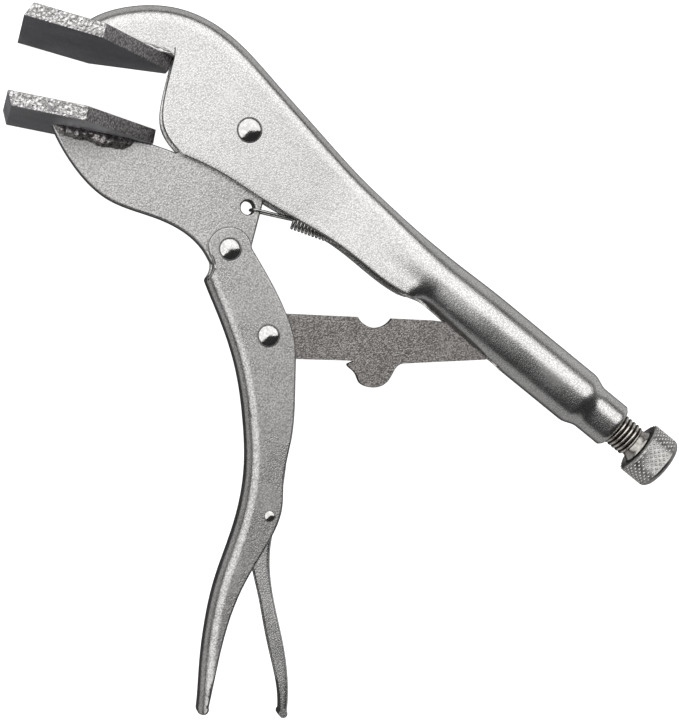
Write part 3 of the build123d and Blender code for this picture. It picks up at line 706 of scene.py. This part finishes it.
outward = add(knurl_tree, "ShaderNodeVectorMath", {
    0: add(knurl_tree, "ShaderNodeCombineXYZ", {0: xyz[0], 1: xyz[1]}).outputs[0]},
    operation="NORMALIZE").outputs[0]
lift = add(knurl_tree, "ShaderNodeVectorMath", {
    0: outward, "Scale": pyramid}, operation="SCALE").outputs[0]
knurled = add(knurl_tree, "GeometryNodeSetPosition", {
    "Geometry": sleeve, "Offset": lift}).outputs[0]
# Painted shade: the knurl's valleys are painted near black, and its crests are plain bright steel.
knurl_steel = root_shaded_steel("knurl_steel", 8.5, 9.05, (0.03, 0.03, 0.03), (0.90, 0.89, 0.87), 0.26)
close_tree(knurl_tree, knurled, knurl_steel)
knurl = made_by(knurl_tree, knurl_sizes, "knob_knurl",
                tube_place @ Matrix.Translation((0, 0, 95.0 * MM)),
                length=7.8 * MM, radius=8.35 * MM, depth=0.90 * MM, rows=4.0, around=28.0)
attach(knurl, "screw_knob")

# ---------------------------------------------------------------- return spring
# A coil of 1 mm plated spring wire. Its front end is drawn out to a long
# loop through the moving jaw, and its back end hooks into a tab inside the fixed handle.
spring_front = np.array((75.6, -33.9, 0))
spring_tilt = radians(4)
coil_pitch = 1.21
coil_turns = 21
coil_length = coil_turns * coil_pitch
coil_radius = 2.85
wire_radius = 0.49
spring_along = np.array((cos(spring_tilt), -sin(spring_tilt), 0))
spring_wire = plated_steel("spring_wire", (0.80, 0.79, 0.77), (0.50, 0.49, 0.48), 0.22, 0.8, 0.02)
spring_tree, spring_in, spring_sizes = group_with("wound_wire", {
    "Turns": 26.0, "Coil radius": 0.00285, "Coil length": 0.0255, "Wire radius": 0.00045})
helix = add(spring_tree, "GeometryNodeCurveSpiral", {
    "Resolution": 24, "Rotations": spring_in["Turns"], "Start Radius": spring_in["Coil radius"],
    "End Radius": spring_in["Coil radius"], "Height": spring_in["Coil length"]}).outputs[0]
wire_round = add(spring_tree, "GeometryNodeCurvePrimitiveCircle", {
    "Resolution": 12, "Radius": spring_in["Wire radius"]}, mode="RADIUS").outputs["Curve"]
swept = add(spring_tree, "GeometryNodeCurveToMesh", {
    "Curve": helix, "Profile Curve": wire_round, "Fill Caps": True}).outputs[0]
close_tree(spring_tree, swept, spring_wire)
spring_place = Matrix((
    (0, -spring_along[1], spring_along[0], spring_front[0] * MM),
    (0, spring_along[0], spring_along[1], spring_front[1] * MM),
    (1, 0, 0, 0),
    (0, 0, 0, 1)))
coil = made_by(spring_tree, spring_sizes, "return_spring_coil", spring_place,
               turns=float(coil_turns), coil_radius=coil_radius * MM,
               coil_length=coil_length * MM, wire_radius=wire_radius * MM)


def bent_wire(name, path, material):
    """A wire swept along a path of points in millimetres, with closed ends."""
    curve = bpy.data.curves.new(name, "CURVE")
    curve.dimensions = "3D"
    curve.bevel_depth = wire_radius * MM
    curve.bevel_resolution = 3
    curve.use_fill_caps = True
    run = curve.splines.new("POLY")
    run.points.add(len(path) - 1)
    for point, place in zip(run.points, path):
        point.co = (*(float(c) * MM for c in place), 1)
    source = bpy.data.objects.new(name + "_path", curve)
    bpy.context.scene.collection.objects.link(source)
    scene_now = bpy.context.evaluated_depsgraph_get()
    mesh = bpy.data.meshes.new_from_object(source.evaluated_get(scene_now))
    bpy.data.objects.remove(source)
    mesh.materials.clear()
    mesh.materials.append(material)
    mesh.polygons.foreach_set("use_smooth", [True] * len(mesh.polygons))
    piece = bpy.data.objects.new(name, mesh)
    bpy.context.scene.collection.objects.link(piece)
    return piece


def softened(points, radius, steps=6):
    """A path with its corners rounded."""
    path = [np.array(points[0], float)]
    for before, corner, after in zip(points, points[1:], points[2:]):
        before, corner, after = (np.array(p, float) for p in (before, corner, after))
        to_before, to_after = before - corner, after - corner
        start = corner + to_before * min(0.45, radius / np.linalg.norm(to_before))
        end = corner + to_after * min(0.45, radius / np.linalg.norm(to_after))
        for k in range(steps + 1):
            t = k / steps
            path.append((1 - t)**2 * start + 2 * t * (1 - t) * corner + t * t * end)
    path.append(np.array(points[-1], float))
    return path


hole = (61.65, -34.6)
strand_z = 5.25
rim_place = spring_front + spring_along * 0.5
coil_end = spring_front + spring_along * (coil_length - 0.5)
tab_hole = (110.0, -36.4)
front_loop = bent_wire("return_spring_loop", softened([
    (rim_place[0], rim_place[1], coil_radius), (*hole, strand_z), (*hole, -strand_z),
    (rim_place[0], rim_place[1], -coil_radius)], 1.6), spring_wire)
back_hook = bent_wire("return_spring_hook", softened([
    (coil_end[0], coil_end[1], coil_radius), (coil_end[0] + 3.5, coil_end[1] - 0.2, 1.6),
    (*tab_hole, 1.6), (*tab_hole, -1.6), (coil_end[0] + 3.5, coil_end[1] - 0.2, -1.6),
    (coil_end[0], coil_end[1], -coil_radius)], 1.2), spring_wire)
for piece in (coil, front_loop, back_hook):
    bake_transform(piece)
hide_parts("return_spring")

# ---------------------------------------------------------------- table, light and camera
# A plain pale table top under the lowest edge of the jaw plates, one wide soft light from
# the upper left and a dim surround, and a long lens looking almost straight down.
table_z = (cad_box[0][2] - 0.0002) / MM
table = new_piece("table_top", [(-2500, -2500, table_z), (2500, -2500, table_z),
                                (2500, 2500, table_z), (-2500, 2500, table_z)], [(0, 1, 2, 3)],
                  bpy.data.materials.new("pale_table"))
table_paint = table.data.materials[0]
table_paint.use_nodes = True
paint = table_paint.node_tree.nodes["Principled BSDF"]
paint.inputs["Base Color"].default_value = (0.62, 0.62, 0.62, 1)
paint.inputs["Roughness"].default_value = 0.9
paint.inputs["Specular IOR Level"].default_value = 0.1
paint.inputs["Emission Color"].default_value = (1, 1, 1, 1)
paint.inputs["Emission Strength"].default_value = 0.93
table.visible_glossy = False
table.visible_diffuse = False

view_right = Vector((0.95187, 0.26383, 0.15601))
view_up = Vector((-0.26311, 0.96442, -0.02567))
view_back = Vector((-0.15724, -0.01661, 0.98741))
camera_data = bpy.data.cameras.new("camera")
camera_data.lens = 120.9
camera_data.sensor_width = 36.0
camera = bpy.data.objects.new("camera", camera_data)
bpy.context.scene.collection.objects.link(camera)
camera.matrix_world = Matrix((
    (view_right[0], view_up[0], view_back[0], -0.02064),
    (view_right[1], view_up[1], view_back[1], -0.08646),
    (view_right[2], view_up[2], view_back[2], 0.77019),
    (0, 0, 0, 1)))
bpy.context.scene.camera = camera

surround = bpy.data.worlds.new("studio")
bpy.context.scene.world = surround
surround.use_nodes = True
sky = surround.node_tree
away = add(sky, "ShaderNodeTexCoord").outputs["Generated"]
rise = add(sky, "ShaderNodeSeparateXYZ", {0: away}).outputs[2]


def ramp(value, low, high):
    """0 at low, 1 at high and smooth between them."""
    return add(sky, "ShaderNodeMapRange", {"Value": value, "From Min": low, "From Max": high},
               interpolation_type="SMOOTHSTEP").outputs["Result"]


far_side = view_up + view_back * 0.08
left_side = view_up * 0.7 - view_right * 0.7 + view_back * 0.26
shares = [add(sky, "ShaderNodeVectorMath", {0: away, 1: side},
              operation="DOT_PRODUCT").outputs["Value"] for side in (far_side, left_side)]
on_side = ramp(calc(sky, "MAXIMUM", *shares), 0.0, 0.09)
softbox = calc(sky, "MULTIPLY", on_side, ramp(rise, 0.34, 0.56))
low_band = calc(sky, "MULTIPLY", ramp(rise, 0.20, 0.02), ramp(rise, -0.90, -0.62))
table_glow = calc(sky, "MULTIPLY", low_band, calc(sky, "MULTIPLY_ADD", on_side, 0.16, 0.30))
strength = calc(sky, "ADD", table_glow, calc(sky, "MULTIPLY_ADD", softbox, 1.26, 0.03))
sky.nodes["Background"].inputs["Color"].default_value = (1, 1, 1, 1)
sky.links.new(strength, sky.nodes["Background"].inputs["Strength"])

bpy.context.scene.view_settings.view_transform = "Standard"
